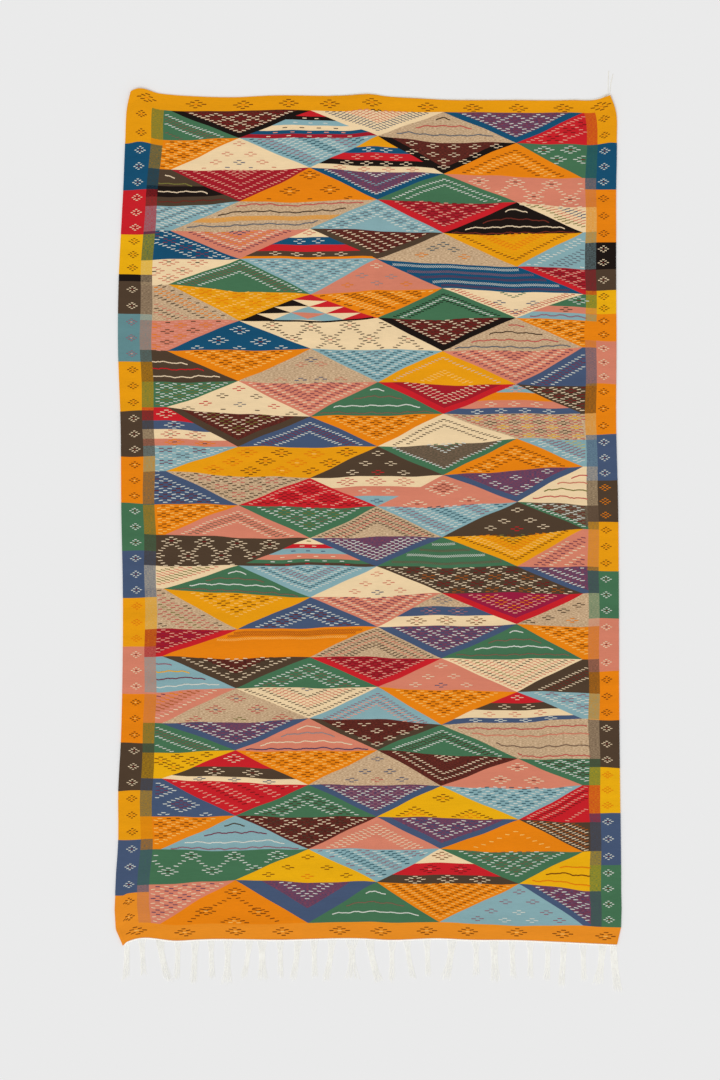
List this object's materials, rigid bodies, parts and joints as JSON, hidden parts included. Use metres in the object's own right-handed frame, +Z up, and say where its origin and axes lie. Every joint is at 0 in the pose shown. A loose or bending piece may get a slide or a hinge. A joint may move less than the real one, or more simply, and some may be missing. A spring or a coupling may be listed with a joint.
{
  "type": "moroccan rug",
  "caption": "Flat-woven wool kilim rug lying flat, with rows of patterned triangles, block borders, a warp fringe at one end and a twined cord along the other.",
  "frame": {"origin": "middle of the whole thing's box, on the surface that the rug lies on", "axes": "+X across the rug, +Y along it from the fringe to the corded end, +Z up off the floor"},
  "size_m": [1.5244, 2.7638, 0.0099],
  "materials": {
    "woven_wool": "matt weft-faced wool",
    "warp_yarn": "matt undyed warp yarn"
  },
  "bodies": {
    "root": {"rug": "woven_wool", "fringe": "warp_yarn", "end_cord": "warp_yarn"}
  },
  "joints": []
}
